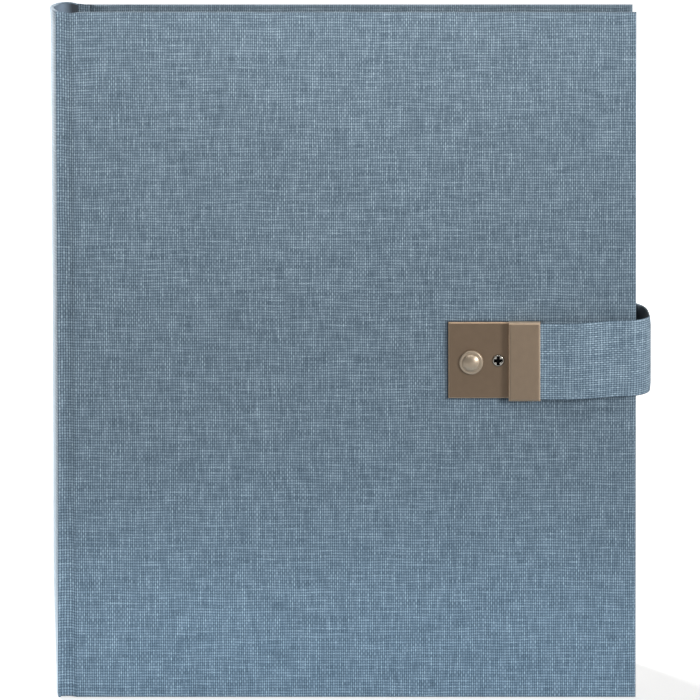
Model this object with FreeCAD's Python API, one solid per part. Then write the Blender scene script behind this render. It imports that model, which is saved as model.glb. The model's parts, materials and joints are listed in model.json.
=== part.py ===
import FreeCAD, Part
import math
import os

# A linen-covered scrapbook album with a rounded hollow spine, a screw-post page block, and a strap
# that wraps the fore-edge and latches on a push-button lock with a key cylinder.
# It stands closed on the bottom edges of its covers.
# Millimetres. +Z is up, -Y faces the reader, the spine is on the -X side.
# Everything is drawn about the middle of the closed covers, then moved so that the origin is the
# middle of the bottom of the whole part's bounding box.

V = FreeCAD.Vector

# covers
HEIGHT = 317.0            # covers are an A4-page album, taller than the page by the squares
FORE_X = 135.0            # fore-edge of both covers
BOARD_X = -124.0          # spine-side edge of the cover boards
HALF_DEPTH = 20.0         # outer face of each cover from the middle of the album
CLOTH = 0.6               # linen with its glue
BOARD = 2.4               # greyboard
COVER = CLOTH + BOARD + CLOTH
TURN_IN = 15.0            # linen turned over onto the inner face
EDGE_ROUND = 0.5

# spine
SPINE_X = -130.0          # where the rounded spine starts
SPINE_RISE = 7.0          # how far it bulges beyond that
SPINE_R = (HALF_DEPTH ** 2 + SPINE_RISE ** 2) / (2 * SPINE_RISE)
SPINE_CX = SPINE_X - SPINE_RISE + SPINE_R
SPINE_HALF_ANGLE = math.asin(HALF_DEPTH / SPINE_R)
SPINE_CARD = 1.2
SPINE_LINING = 0.5
SPINE_TURN_IN = 12.0
GROOVE = 0.4              # the cloth joint lies a little below the cover's face
JOINT_START_X = SPINE_X + 1.4

# page block and its binding
PAGE_X0 = -118.0
PAGE_X1 = 127.0
PAGE_Z0 = 6.0
PAGE_Z1 = 311.0
BLOCK_REAR_Y = 15.4
BLOCK_FRONT_Y = -6.0
STUB_W = 19.5             # bound margin of the turning leaves
STUB_T = 0.9
BAR_T = 2.0
POST_X = -108.0
POST_ZS = (60.0, 158.5, 257.0)
POST_R = 2.5
POST_THREAD_R = 1.5
FLANGE_R = 6.0
FLANGE_T = 0.8
SCREW_HEAD_R = 4.5
SCREW_HEAD_T = 1.2
LEAF_X0 = -96.5
LEAF_T = 0.5
LEAF_YS = (-8.2, -7.3, -6.4)   # middle of each turning leaf, front one first

# strap
STRAP_W = 35.0
STRAP_T = 1.6
STRAP_LINING = 0.5
STRAP_OUT_X = 141.4        # middle of the strap's thickness outside the fore-edge
FRONT_BEND_R = 11.5
REAR_BEND_R = 6.4         # tighter, as the strap lies flat on the rear cover up to its edge
FRONT_BEND_X = STRAP_OUT_X - FRONT_BEND_R
REAR_BEND_X = STRAP_OUT_X - REAR_BEND_R
STRAP_FRONT_Y = -23.3     # middle of the strap's thickness in front
STRAP_REAR_Y = HALF_DEPTH + STRAP_T / 2
TAIL_X0 = 92.0
RIVET_X = 104.0
RIVET_DZ = 10.0
RIVET_HEAD_R = 3.0
RIVET_HEAD_T = 1.0
RIVET_R = 1.5

# lock
LOCK_Z = 157.0
PLATE_X0 = 48.8
PLATE_X1 = 90.2           # runs on under the strap's end cap
PLATE_H = 35.0
PLATE_T = 1.2
PLATE_BEVEL = 0.6
PLATE_Y = -HALF_DEPTH - PLATE_T
FIX_POST_DX = 3.5
FIX_POST_DZ = 14.0
FIX_POST_R = 1.5
LOCK_SCREW_R = 0.8
BACK_T = 0.8
CASE_X0 = 50.9
CASE_X1 = 88.6
CASE_H = 22.0
CASE_WALL = 0.6
FIT = 0.05                # clearance of moving pieces

# push button
BUTTON_X = 59.3
BUTTON_Z = LOCK_Z - 0.8
BUTTON_R = 3.9
BUTTON_PROUD = 3.0
COLLAR_R = 5.5
COLLAR_H = 1.2
BUTTON_TRAVEL = 1.2
STEM_HALF = 2.0

# key cylinder
KEY_X = 71.7
KEY_R = 2.5
SLEEVE_R = 2.9
KEY_PROUD = 0.5
KEY_END_Y = -18.75
KEYWAY_ARM = 2.1
KEYWAY_HALF = 0.75
KEYWAY_DEEP = 1.7
CAM_ARM = 6.5
CAM_Y0 = -19.85
CAM_Y1 = -18.95

# end cap and hasp
CAP_X0 = 76.5
CAP_X1 = 91.0
CAP_H = 36.0
CAP_Y0 = -21.3            # underside, just clear of the plate
CAP_Y1 = -25.0             # outer face
CAP_ROUND = 1.3
HASP_X0 = 81.6
HASP_T = 2.2
HASP_HALF = 4.0
HASP_TIP_Y = -17.3
HASP_NOTCH = (-18.85, -17.85)   # where the latch's nose enters
HASP_NOTCH_DEEP = 1.1


def box(x0, x1, y0, y1, z0, z1):
    """A block between opposite corners, given in any order."""
    low = V(min(x0, x1), min(y0, y1), min(z0, z1))
    return Part.makeBox(abs(x1 - x0), abs(y1 - y0), abs(z1 - z0), low)


def rod_y(x, z, radius, y0, y1):
    """A round bar along Y."""
    return Part.makeCylinder(radius, abs(y1 - y0), V(x, min(y0, y1), z), V(0, 1, 0))


def prism_z(points, z0, z1):
    """A plan outline of straight sides, raised from z0 to z1."""
    corners = [V(x, y, z0) for x, y in points]
    return Part.Face(Part.makePolygon(corners + corners[:1])).extrude(V(0, 0, z1 - z0))


def arc_shell(cx, cy, outer, inner, a0, a1, z0, z1):
    """A curved wall about a vertical axis, between two plan angles in radians."""
    def at(radius, angle):
        return V(cx + radius * math.cos(angle), cy + radius * math.sin(angle), z0)
    mid = (a0 + a1) / 2
    edges = [
        Part.Arc(at(outer, a0), at(outer, mid), at(outer, a1)).toShape(),
        Part.makeLine(at(outer, a1), at(inner, a1)),
        Part.Arc(at(inner, a1), at(inner, mid), at(inner, a0)).toShape(),
        Part.makeLine(at(inner, a0), at(outer, a0)),
    ]
    return Part.Face(Part.Wire(edges)).extrude(V(0, 0, z1 - z0))


def rounded(shape, radius, keep):
    """The shape with the edges that pass keep(edge) rounded."""
    return shape.makeFillet(radius, [e for e in shape.Edges if keep(e)])


def flat_at(edge, axis, value):
    """True for an edge that lies wholly at one value of one axis."""
    return all(abs(getattr(v.Point, axis) - value) < 1e-6 for v in edge.Vertexes)


def layer(side, x0, x1, d0, d1, z0, z1):
    """A block in a cover, d0 to d1 deep from its outer face. side is -1 in front, +1 behind."""
    return box(x0, x1, side * (HALF_DEPTH - d0), side * (HALF_DEPTH - d1), z0, z1)


# ---- covers -------------------------------------------------------------------------------------

def cover_board(side):
    return layer(side, BOARD_X, FORE_X - CLOTH, CLOTH, CLOTH + BOARD, CLOTH, HEIGHT - CLOTH)


def cover_opening(side):
    """The part of the inner face that the turned-in linen leaves bare."""
    return layer(side, BOARD_X, FORE_X - TURN_IN, CLOTH + BOARD, COVER, TURN_IN, HEIGHT - TURN_IN)


def cover_cloth(side):
    """Linen over the outer face, round three edges and turned in on the inner face."""
    skin = layer(side, BOARD_X, FORE_X, 0, COVER, 0, HEIGHT)
    skin = rounded(skin, EDGE_ROUND, lambda e: not flat_at(e, "x", BOARD_X))
    return skin.cut(cover_board(side)).cut(cover_opening(side))


def joint_cloth(side):
    """The strip of linen between board and spine that folds as the cover opens."""
    return layer(side, JOINT_START_X, BOARD_X, GROOVE, GROOVE + CLOTH, 0, HEIGHT)


def spine_layer(depth0, depth1, z0, z1):
    """A curved sheet of the spine, between two depths from its outer surface."""
    a0 = math.pi - SPINE_HALF_ANGLE
    a1 = math.pi + SPINE_HALF_ANGLE
    return arc_shell(SPINE_CX, 0, SPINE_R - depth0, SPINE_R - depth1, a0, a1, z0, z1)


def spine_cloth():
    """Linen over the spine, turned over its two ends."""
    inner = CLOTH + SPINE_CARD + SPINE_LINING
    skin = spine_layer(0, inner, 0, HEIGHT)
    card = spine_layer(CLOTH, CLOTH + SPINE_CARD, CLOTH, HEIGHT - CLOTH)
    bare = spine_layer(CLOTH + SPINE_CARD, inner, SPINE_TURN_IN, HEIGHT - SPINE_TURN_IN)
    return skin.cut(card).cut(bare)


# ---- pages --------------------------------------------------------------------------------------

def post_holes(y0, y1):
    return Part.makeCompound([rod_y(POST_X, z, POST_R + 0.1, y0, y1) for z in POST_ZS])


def bound_sheet(x0, x1, y0, y1):
    """A stack of paper with the three post holes."""
    return box(x0, x1, y0, y1, PAGE_Z0, PAGE_Z1).cut(post_holes(y0, y1))


def binding_bar():
    """The bar that clamps the page margins under the screw heads."""
    x1 = PAGE_X0 + STUB_W
    y0 = BLOCK_FRONT_Y - STUB_T
    bar = box(PAGE_X0, x1, y0, y0 - BAR_T, PAGE_Z0, PAGE_Z1)
    bar = rounded(bar, 0.8, lambda e: flat_at(e, "y", y0 - BAR_T))
    return bar.cut(post_holes(y0, y0 - BAR_T))


def screw_post(z):
    """A threaded barrel with a broad foot let into the rear board under its lining."""
    foot_y = HALF_DEPTH - CLOTH - BOARD
    top_y = BLOCK_FRONT_Y - STUB_T - BAR_T
    post = rod_y(POST_X, z, FLANGE_R, foot_y, foot_y + FLANGE_T)
    post = post.fuse(rod_y(POST_X, z, POST_R, top_y, foot_y))
    return post.cut(rod_y(POST_X, z, POST_THREAD_R, top_y, top_y + 14))


def post_screw(z):
    """A broad-headed screw with a driver slot."""
    seat = BLOCK_FRONT_Y - STUB_T - BAR_T
    head = rod_y(POST_X, z, SCREW_HEAD_R, seat, seat - SCREW_HEAD_T)
    head = rounded(head, 0.6, lambda e: flat_at(e, "y", seat - SCREW_HEAD_T))
    screw = head.fuse(rod_y(POST_X, z, POST_THREAD_R - FIT, seat, seat + 10))
    reach = SCREW_HEAD_R
    slot = box(POST_X - reach, POST_X + reach, seat - SCREW_HEAD_T, seat - 0.5, z - 0.5, z + 0.5)
    return screw.cut(slot)


def leaf(y):
    """One turning leaf, with its two outer corners rounded."""
    sheet = box(LEAF_X0, PAGE_X1, y - LEAF_T / 2, y + LEAF_T / 2, PAGE_Z0, PAGE_Z1)
    corner = lambda e: flat_at(e, "x", PAGE_X1) and (flat_at(e, "z", PAGE_Z0) or flat_at(e, "z", PAGE_Z1))
    return rounded(sheet, 4.0, corner)


# ---- strap --------------------------------------------------------------------------------------

def strap_box(x0, x1, y_mid, out0, out1):
    """A straight length of strap lying flat along X; out0 to out1 is measured across its thickness."""
    return box(x0, x1, y_mid + out0, y_mid + out1, LOCK_Z - STRAP_W / 2, LOCK_Z + STRAP_W / 2)


def strap_bend(cx, cy, radius, a0, a1):
    """A quarter turn of strap round the fore-edge."""
    z0 = LOCK_Z - STRAP_W / 2
    return arc_shell(cx, cy, radius + STRAP_T / 2, radius - STRAP_T / 2, a0, a1, z0, z0 + STRAP_W)


FRONT_BEND_Y = STRAP_FRONT_Y + FRONT_BEND_R
REAR_BEND_Y = STRAP_REAR_Y - REAR_BEND_R


def strap_loop(in0, in1):
    """The straight length outside the fore-edge; in0 to in1 is measured from its middle."""
    z0 = LOCK_Z - STRAP_W / 2
    return box(STRAP_OUT_X + in0, STRAP_OUT_X + in1, FRONT_BEND_Y, REAR_BEND_Y, z0, z0 + STRAP_W)


def rivet_spots():
    return [LOCK_Z - RIVET_DZ, LOCK_Z + RIVET_DZ]


def rivet_holes():
    y0 = HALF_DEPTH - COVER
    y1 = HALF_DEPTH + STRAP_T
    return Part.makeCompound([rod_y(RIVET_X, z, RIVET_R + FIT, y0, y1) for z in rivet_spots()])


def tail_rivet(z):
    """A rivet through the strap's tail and the rear cover, with a head on each side."""
    out_y = HALF_DEPTH + STRAP_T
    in_y = HALF_DEPTH - COVER
    top = rod_y(RIVET_X, z, RIVET_HEAD_R, out_y, out_y + RIVET_HEAD_T)
    top = rounded(top, 0.8, lambda e: flat_at(e, "y", out_y + RIVET_HEAD_T))
    foot = rod_y(RIVET_X, z, RIVET_HEAD_R, in_y, in_y - 0.7)
    return top.fuse(foot).fuse(rod_y(RIVET_X, z, RIVET_R, in_y, out_y))


def end_cap():
    """The folded metal end that closes the strap, with rounded ends and a pocket for the strap."""
    z0 = LOCK_Z - CAP_H / 2
    cap = box(CAP_X0, CAP_X1, CAP_Y0, CAP_Y1, z0, z0 + CAP_H)
    cap = rounded(cap, CAP_ROUND, lambda e: flat_at(e, "y", CAP_Y1))
    return cap.cut(strap_box(CAP_X0 + 4, CAP_X1, STRAP_FRONT_Y, -STRAP_T / 2, STRAP_T / 2))


def hasp():
    """The tongue under the cap, notched on the side where the latch catches it."""
    tongue = box(HASP_X0, HASP_X0 + HASP_T, CAP_Y0, HASP_TIP_Y, LOCK_Z - HASP_HALF, LOCK_Z + HASP_HALF)
    low, high = HASP_NOTCH
    notch = box(HASP_X0, HASP_X0 + HASP_NOTCH_DEEP, low, high, LOCK_Z - HASP_HALF, LOCK_Z + HASP_HALF)
    tongue = rounded(tongue, 0.4, lambda e: flat_at(e, "y", HASP_TIP_Y) and not flat_at(e, "x", HASP_X0))
    return tongue.cut(notch)


# ---- lock ---------------------------------------------------------------------------------------

def post_spots():
    """The four fixing posts near the lock plate's corners."""
    xs = (PLATE_X0 + FIX_POST_DX, PLATE_X1 - FIX_POST_DX)
    zs = (LOCK_Z - FIX_POST_DZ, LOCK_Z + FIX_POST_DZ)
    return [(x, z) for x in xs for z in zs]


def lock_pocket():
    """What is cut from the front cover for the lock case and the four posts."""
    gap = 0.1
    back_y = -HALF_DEPTH + COVER
    half = CASE_H / 2 + gap
    room = [box(CASE_X0 - gap, CASE_X1 + gap, -HALF_DEPTH, back_y, LOCK_Z - half, LOCK_Z + half)]
    room += [rod_y(x, z, FIX_POST_R + gap, -HALF_DEPTH, back_y) for x, z in post_spots()]
    return room


def cut_all(shape, tools):
    for tool in tools:
        shape = shape.cut(tool)
    return shape


def lock_plate():
    """The bevelled face plate with its holes and the four blind posts behind it."""
    z0 = LOCK_Z - PLATE_H / 2
    plate = box(PLATE_X0, PLATE_X1, -HALF_DEPTH, PLATE_Y, z0, z0 + PLATE_H)
    rim = [e for e in plate.Edges if flat_at(e, "y", PLATE_Y)]
    plate = plate.makeChamfer(PLATE_BEVEL, rim)
    back_y = -HALF_DEPTH + COVER
    for x, z in post_spots():
        plate = plate.fuse(rod_y(x, z, FIX_POST_R, -HALF_DEPTH, back_y))
    holes = [rod_y(x, z, LOCK_SCREW_R + FIT, back_y - 2.8, back_y) for x, z in post_spots()]
    holes.append(rod_y(BUTTON_X, BUTTON_Z, BUTTON_R + 0.75, PLATE_Y, -HALF_DEPTH))
    holes.append(rod_y(KEY_X, LOCK_Z, SLEEVE_R + FIT, PLATE_Y, -HALF_DEPTH))
    half = HASP_HALF + 0.4
    holes.append(box(HASP_X0 - 0.4, HASP_X0 + HASP_T + 2, PLATE_Y, -HALF_DEPTH, LOCK_Z - half, LOCK_Z + half))
    return cut_all(plate, holes)


def lock_case():
    """A tray behind the plate that holds the works."""
    back_y = -HALF_DEPTH + COVER
    half = CASE_H / 2
    tray = box(CASE_X0, CASE_X1, -HALF_DEPTH, back_y, LOCK_Z - half, LOCK_Z + half)
    tray = rounded(tray, 1.5, lambda e: abs(e.BoundBox.YLength - COVER) < 1e-6)
    inside = half - CASE_WALL
    x0 = CASE_X0 + CASE_WALL
    x1 = CASE_X1 - CASE_WALL
    room = box(x0, x1, -HALF_DEPTH, back_y - CASE_WALL, LOCK_Z - inside, LOCK_Z + inside)
    return tray.cut(room)


def back_plate():
    """The plate on the inner face that the lock screws pull against."""
    y0 = -HALF_DEPTH + COVER
    z0 = LOCK_Z - PLATE_H / 2
    plate = box(PLATE_X0, PLATE_X1, y0, y0 + BACK_T, z0, z0 + PLATE_H)
    plate = rounded(plate, 3.0, lambda e: abs(e.BoundBox.YLength - BACK_T) < 1e-6)
    return cut_all(plate, [rod_y(x, z, LOCK_SCREW_R + 0.1, y0, y0 + BACK_T) for x, z in post_spots()])


def lock_screw(x, z):
    """A small slotted screw from behind into a post."""
    y0 = -HALF_DEPTH + COVER + BACK_T
    head = rod_y(x, z, 1.7, y0, y0 + 0.8)
    head = rounded(head, 0.35, lambda e: flat_at(e, "y", y0 + 0.8))
    screw = head.fuse(rod_y(x, z, LOCK_SCREW_R, y0 - 3.2, y0))
    return screw.cut(box(x - 1.7, x + 1.7, y0 + 0.45, y0 + 0.8, z - 0.2, z + 0.2))


def button_collar():
    """The ring the button moves in: a rounded flange on the plate and a neck through it."""
    flange = rod_y(BUTTON_X, BUTTON_Z, COLLAR_R, PLATE_Y, PLATE_Y - COLLAR_H)
    flange = rounded(flange, 0.7, lambda e: flat_at(e, "y", PLATE_Y - COLLAR_H))
    ring = flange.fuse(rod_y(BUTTON_X, BUTTON_Z, BUTTON_R + 0.7, PLATE_Y, -HALF_DEPTH))
    return ring.cut(rod_y(BUTTON_X, BUTTON_Z, BUTTON_R + FIT, PLATE_Y - COLLAR_H, -HALF_DEPTH))


HEAD_Y = PLATE_Y + 0.2    # underside of the button's head at rest
STEM_TIP_Y = -18.4
RAMP = BUTTON_X + 19.6    # the 45 degree ramp is the line x = y + RAMP


def push_button():
    """A domed head, and a stem whose slanted side drives the latch."""
    top = PLATE_Y - BUTTON_PROUD
    rim = top + 1.4
    head = rod_y(BUTTON_X, BUTTON_Z, BUTTON_R, HEAD_Y, rim)
    rise = rim - top
    ball_r = (BUTTON_R ** 2 + rise ** 2) / (2 * rise)
    ball = Part.makeSphere(ball_r, V(BUTTON_X, top + ball_r, BUTTON_Z))
    dome = ball.common(rod_y(BUTTON_X, BUTTON_Z, BUTTON_R, top - 1, rim))
    side = BUTTON_X + STEM_HALF
    heel = STEM_TIP_Y + RAMP
    outline = [(HEAD_Y + RAMP, HEAD_Y), (side, HEAD_Y), (side, STEM_TIP_Y), (heel, STEM_TIP_Y)]
    stem = prism_z(outline, BUTTON_Z - STEM_HALF, BUTTON_Z + STEM_HALF)
    return head.fuse(dome).fuse(stem).removeSplitter()


SLIDER_X0 = BUTTON_X - 4.2
SLIDER_X1 = HASP_X0 - 1.4       # where the plate of the latch ends and its nose begins
NOSE_X1 = HASP_X0 + 0.9         # the nose stands this far into the hasp's notch
NOSE_T = 0.6
NOSE_HALF = 3.0
WINDOW_X1 = BUTTON_X + 4.8      # end of the window the button's stem passes through
SLIDER_Y0 = -18.6
SLIDER_Y1 = -17.3
SLIDER_HALF = 5.0
BOSS_Y = -19.7


def latch_slider():
    """The sliding latch: a ramp under the button at one end and a thin nose at the other."""
    slack = FIT * math.sqrt(2)
    z0 = LOCK_Z - SLIDER_HALF
    z1 = LOCK_Z + SLIDER_HALF
    base = box(SLIDER_X0, SLIDER_X1, SLIDER_Y0, SLIDER_Y1, z0, z1)
    nose_y1 = SLIDER_Y0 + NOSE_T
    nose = box(SLIDER_X1, NOSE_X1, SLIDER_Y0, nose_y1, LOCK_Z - NOSE_HALF, LOCK_Z + NOSE_HALF)
    ramp_at = lambda y: (y + RAMP - slack, y)
    deep = [ramp_at(BOSS_Y), (WINDOW_X1, BOSS_Y), (WINDOW_X1, SLIDER_Y1), ramp_at(SLIDER_Y1)]
    half = STEM_HALF + 0.3
    window = prism_z(deep, BUTTON_Z - half, BUTTON_Z + half)
    outline = [(SLIDER_X0, BOSS_Y), ramp_at(BOSS_Y), ramp_at(SLIDER_Y0), (SLIDER_X0, SLIDER_Y0)]
    boss = prism_z(outline, BUTTON_Z - STEM_HALF, BUTTON_Z + STEM_HALF)
    return base.cut(window).fuse(boss).fuse(nose).removeSplitter()


def latch_spring():
    """The coil that pushes the latch into the hasp and lifts the button."""
    wire = 0.2
    coil = 1.1
    start = CASE_X0 + CASE_WALL + wire
    run = SLIDER_X0 - start - wire
    helix = Part.makeHelix(run / 4, run, coil)
    helix.rotate(V(0, 0, 0), V(0, 1, 0), 90)
    y = (SLIDER_Y0 + BOSS_Y) / 2 + 0.55
    helix.translate(V(start, y, LOCK_Z))
    first = helix.Edges[0].valueAt(helix.Edges[0].FirstParameter)
    tangent = helix.Edges[0].tangentAt(helix.Edges[0].FirstParameter)
    profile = Part.Wire(Part.makeCircle(wire, first, tangent))
    return Part.Wire(helix.Edges).makePipeShell([profile], True, True)


def key_sleeve():
    """The fixed bush round the key cylinder."""
    front = PLATE_Y - 0.25
    bush = rod_y(KEY_X, LOCK_Z, SLEEVE_R, front, -HALF_DEPTH + 0.05)
    bush = rounded(bush, 0.2, lambda e: flat_at(e, "y", front))
    return bush.cut(rod_y(KEY_X, LOCK_Z, KEY_R + FIT, front, -HALF_DEPTH + 0.05))


def key_plug():
    """The turning cylinder with a cross-shaped keyway."""
    front = PLATE_Y - KEY_PROUD
    plug = rod_y(KEY_X, LOCK_Z, KEY_R, front, KEY_END_Y)
    plug = rounded(plug, 0.3, lambda e: flat_at(e, "y", front))
    back = front + KEYWAY_DEEP
    for dx, dz in ((KEYWAY_ARM, KEYWAY_HALF), (KEYWAY_HALF, KEYWAY_ARM)):
        plug = plug.cut(box(KEY_X - dx, KEY_X + dx, front, back, LOCK_Z - dz, LOCK_Z + dz))
    return plug


def key_cam():
    """The arm on the key cylinder's inner end."""
    cam = rod_y(KEY_X, LOCK_Z, KEY_R + 0.9, CAM_Y0, CAM_Y1)
    cam = cam.fuse(box(KEY_X - 1.2, KEY_X + 1.2, CAM_Y0, CAM_Y1, LOCK_Z, LOCK_Z + CAM_ARM))
    return cam.cut(rod_y(KEY_X, LOCK_Z, KEY_R, CAM_Y0, CAM_Y1))


# ---- assembly -----------------------------------------------------------------------------------

def front_layers():
    pocket = lock_pocket()
    return {
        "front_board": cut_all(cover_board(-1), pocket),
        "front_cloth": cut_all(cover_cloth(-1), pocket),
        "front_lining": cut_all(cover_opening(-1), pocket),
    }


def rear_layers():
    foot_y = HALF_DEPTH - CLOTH - BOARD
    feet = [rod_y(POST_X, z, FLANGE_R, foot_y, foot_y + FLANGE_T) for z in POST_ZS]
    barrels = [rod_y(POST_X, z, POST_R + 0.1, foot_y - CLOTH, foot_y) for z in POST_ZS]
    rivets = [rivet_holes()]
    return {
        "rear_board": cut_all(cover_board(1), feet + rivets),
        "rear_cloth": cut_all(cover_cloth(1), rivets),
        "rear_lining": cut_all(cover_opening(1), barrels + rivets),
    }


def build():
    parts = {}
    parts.update(rear_layers())
    parts.update(front_layers())
    parts["spine_card"] = spine_layer(CLOTH, CLOTH + SPINE_CARD, CLOTH, HEIGHT - CLOTH)
    parts["spine_cloth"] = spine_cloth()
    inner = CLOTH + SPINE_CARD
    parts["spine_lining"] = spine_layer(inner, inner + SPINE_LINING, SPINE_TURN_IN, HEIGHT - SPINE_TURN_IN)
    parts["rear_joint_cloth"] = joint_cloth(1)
    parts["front_joint_cloth"] = joint_cloth(-1)

    parts["page_block"] = bound_sheet(PAGE_X0, PAGE_X1, BLOCK_REAR_Y, BLOCK_FRONT_Y)
    stub_x1 = PAGE_X0 + STUB_W
    parts["leaf_stubs"] = bound_sheet(PAGE_X0, stub_x1, BLOCK_FRONT_Y, BLOCK_FRONT_Y - STUB_T)
    parts["binding_bar"] = binding_bar()
    parts["screw_posts"] = Part.makeCompound([screw_post(z) for z in POST_ZS])
    parts["post_screws"] = Part.makeCompound([post_screw(z) for z in POST_ZS])
    for number, y in enumerate(LEAF_YS, 1):
        parts["leaf_%d" % number] = leaf(y)

    half = STRAP_T / 2
    tail = strap_box(TAIL_X0, REAR_BEND_X, STRAP_REAR_Y, -half, half)
    parts["strap_tail"] = tail.cut(rivet_holes())
    parts["strap_rear_bend"] = strap_bend(REAR_BEND_X, REAR_BEND_Y, REAR_BEND_R, 0, math.pi / 2)
    parts["strap_loop"] = strap_loop(STRAP_LINING - half, half)
    parts["strap_loop_lining"] = strap_loop(-half, STRAP_LINING - half)
    parts["strap_front_bend"] = strap_bend(FRONT_BEND_X, FRONT_BEND_Y, FRONT_BEND_R, -math.pi / 2, 0)
    strap_x0 = CAP_X0 + 4
    parts["strap_front"] = strap_box(strap_x0, FRONT_BEND_X, STRAP_FRONT_Y, -half, half - STRAP_LINING)
    parts["strap_front_lining"] = strap_box(strap_x0, FRONT_BEND_X, STRAP_FRONT_Y, half - STRAP_LINING, half)
    parts["tail_rivets"] = Part.makeCompound([tail_rivet(z) for z in rivet_spots()])
    parts["end_cap"] = end_cap()
    parts["hasp"] = hasp()

    parts["lock_plate"] = lock_plate()
    parts["lock_case"] = lock_case()
    parts["lock_back_plate"] = back_plate()
    parts["lock_screws"] = Part.makeCompound([lock_screw(x, z) for x, z in post_spots()])
    parts["button_collar"] = button_collar()
    parts["push_button"] = push_button()
    parts["latch_slider"] = latch_slider()
    parts["latch_spring"] = latch_spring()
    parts["key_sleeve"] = key_sleeve()
    parts["key_plug"] = key_plug()
    parts["key_cam"] = key_cam()
    return parts


def to_origin():
    """The move that puts the origin at the bottom middle of the whole part."""
    right = STRAP_OUT_X + STRAP_T / 2
    left = SPINE_X - SPINE_RISE
    back = HALF_DEPTH + STRAP_T + RIVET_HEAD_T
    return V(-(right + left) / 2, -(back + CAP_Y1) / 2, 0)


os.makedirs("parts", exist_ok=True)
for name, shape in build().items():
    shape.translate(to_origin())
    shape.exportStep("parts/%s.step" % name)
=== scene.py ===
import json
import math
import random

import bmesh
import bpy
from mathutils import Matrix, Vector


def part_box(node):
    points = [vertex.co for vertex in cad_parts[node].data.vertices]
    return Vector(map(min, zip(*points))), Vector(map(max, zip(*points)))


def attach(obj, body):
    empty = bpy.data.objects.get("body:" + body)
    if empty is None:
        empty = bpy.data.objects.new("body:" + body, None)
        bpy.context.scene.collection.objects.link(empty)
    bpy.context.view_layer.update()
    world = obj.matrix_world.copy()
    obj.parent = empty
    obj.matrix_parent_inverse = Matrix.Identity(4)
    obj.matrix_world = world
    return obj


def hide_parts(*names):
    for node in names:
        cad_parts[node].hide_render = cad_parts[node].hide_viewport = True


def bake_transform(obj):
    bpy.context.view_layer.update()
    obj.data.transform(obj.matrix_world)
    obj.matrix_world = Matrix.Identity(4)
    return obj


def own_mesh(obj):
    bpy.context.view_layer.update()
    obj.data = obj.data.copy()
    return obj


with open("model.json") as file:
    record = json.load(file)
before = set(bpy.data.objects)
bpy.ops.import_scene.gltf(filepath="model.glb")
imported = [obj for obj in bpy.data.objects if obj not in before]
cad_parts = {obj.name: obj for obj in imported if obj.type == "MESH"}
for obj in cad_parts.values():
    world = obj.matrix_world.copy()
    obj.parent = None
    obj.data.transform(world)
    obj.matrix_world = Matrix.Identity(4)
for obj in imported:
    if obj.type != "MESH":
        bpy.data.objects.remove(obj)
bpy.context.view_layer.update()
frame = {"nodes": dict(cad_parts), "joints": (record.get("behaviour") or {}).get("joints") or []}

MM = 0.001
IN_MM = 1000.0
rng = random.Random(7)


# ---- places taken from the frame ----------------------------------------------------------------

def joint(name):
    """The frame's record of a joint."""
    return next(j for j in frame["joints"] if j["name"] == name)


FRONT_LO, FRONT_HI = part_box("front_cloth")
REAR_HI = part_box("rear_cloth")[1]
SPINE_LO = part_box("spine_cloth")[0]
HEIGHT = FRONT_HI.z
FORE_X = FRONT_HI.x
BOARD_X = FRONT_LO.x
FRONT_Y = FRONT_LO.y
REAR_Y = REAR_HI.y
COVER_T = FRONT_HI.y - FRONT_LO.y
MID_Y = (FRONT_Y + REAR_Y) / 2
HALF_DEPTH = (REAR_Y - FRONT_Y) / 2
SPINE_X = 2 * Vector(joint("cover_hinge")["pos_m"]).x - BOARD_X
JOINT_W = BOARD_X - SPINE_X
SPINE_RISE = SPINE_X - SPINE_LO.x
SPINE_R = (HALF_DEPTH ** 2 + SPINE_RISE ** 2) / (2 * SPINE_RISE)
SPINE_CX = SPINE_LO.x + SPINE_R
SPINE_HALF = math.asin(HALF_DEPTH / SPINE_R)
PLATE_LO, PLATE_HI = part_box("lock_plate")
CASE_LO, CASE_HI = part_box("lock_case")


# ---- mesh helpers -------------------------------------------------------------------------------

def make_object(name, verts, faces, uvs, smooth=True):
    """A mesh object; uvs holds one (u, v) in metres for each vertex."""
    mesh = bpy.data.meshes.new(name)
    mesh.from_pydata(verts, [], faces)
    layer = mesh.uv_layers.new(name="UVMap")
    for loop in mesh.loops:
        layer.data[loop.index].uv = uvs[loop.vertex_index]
    mesh.polygons.foreach_set("use_smooth", [smooth] * len(mesh.polygons))
    mesh.update()
    obj = bpy.data.objects.new(name, mesh)
    bpy.context.scene.collection.objects.link(obj)
    return obj


def sharpen(obj, degrees=35):
    """Keeps edges steeper than this crisp on a smooth-shaded mesh."""
    obj.data.set_sharp_from_angle(angle=math.radians(degrees))
    return obj


def steps(*stops):
    """Positions along a line: (value, count) pairs, with count steps from each value to the next."""
    out = []
    for (a, n), (b, _) in zip(stops, stops[1:]):
        out += [a + (b - a) * i / n for i in range(n)]
    return out + [stops[-1][0]]


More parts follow.
